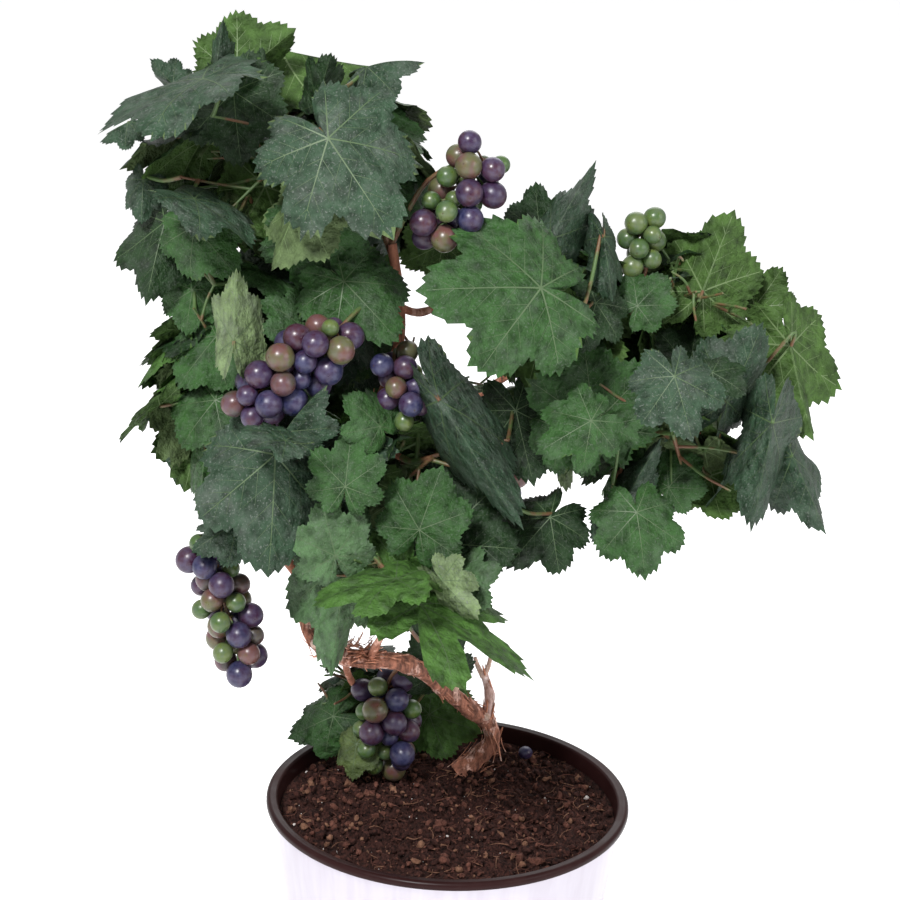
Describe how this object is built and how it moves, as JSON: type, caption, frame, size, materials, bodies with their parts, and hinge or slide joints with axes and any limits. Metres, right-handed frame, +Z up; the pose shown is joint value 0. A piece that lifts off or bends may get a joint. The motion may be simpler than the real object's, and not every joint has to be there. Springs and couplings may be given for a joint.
{
  "type": "potted grapevine",
  "caption": "Young fruiting grapevine with a bent woody arm, lobed leaves and hanging bunches of ripening berries, in a round brown pot inside a plain silver sleeve.",
  "frame": {"origin": "Middle of the flat underside of the sleeve that the pot stands in, on the surface that it stands on.", "axes": "+Z up. -Y is the side that the picture shows. +X to the right as seen from there."},
  "size_m": [0.3798, 0.2394, 0.5947],
  "materials": {
    "bark": "rough, fibrous, peeling in strips",
    "foliage": "matt, with a pale dusting",
    "fruit": "smooth skin under a pale bloom",
    "pot": "glossy",
    "sleeve": "bright, softly polished",
    "soil": "loose crumbs of peat and bark"
  },
  "bodies": {
    "root": {"trunk": "bark", "spur": "bark", "arm_low": "bark", "arm_bend": "bark", "arm_rise": "bark", "cane_top": "bark", "cane_top_back": "bark", "cane_left": "bark", "cane_left_high": "bark", "cane_centre": "bark", "cane_back": "bark", "cane_upper": "bark", "cane_far": "bark", "cane_right": "bark", "cane_right_back": "bark", "shoot_low": "bark", "shoot_low_back": "bark", "leaves_crown_front": "foliage", "leaves_crown_back": "foliage", "leaves_left": "foliage", "leaves_left_back": "foliage", "leaves_centre": "foliage", "leaves_back": "foliage", "leaves_upper": "foliage", "leaves_far": "foliage", "leaves_right": "foliage", "leaves_right_back": "foliage", "leaves_low": "foliage", "leaves_foot": "foliage", "bunch_left": "fruit", "bunch_centre_left": "fruit", "bunch_centre": "fruit", "bunch_top": "fruit", "bunch_green": "fruit", "bunch_low": "fruit", "bunch_back_high": "fruit", "bunch_back_left": "fruit", "fallen_berry": "fruit", "soil": "soil", "pot": "pot", "sleeve": "sleeve"}
  },
  "joints": []
}
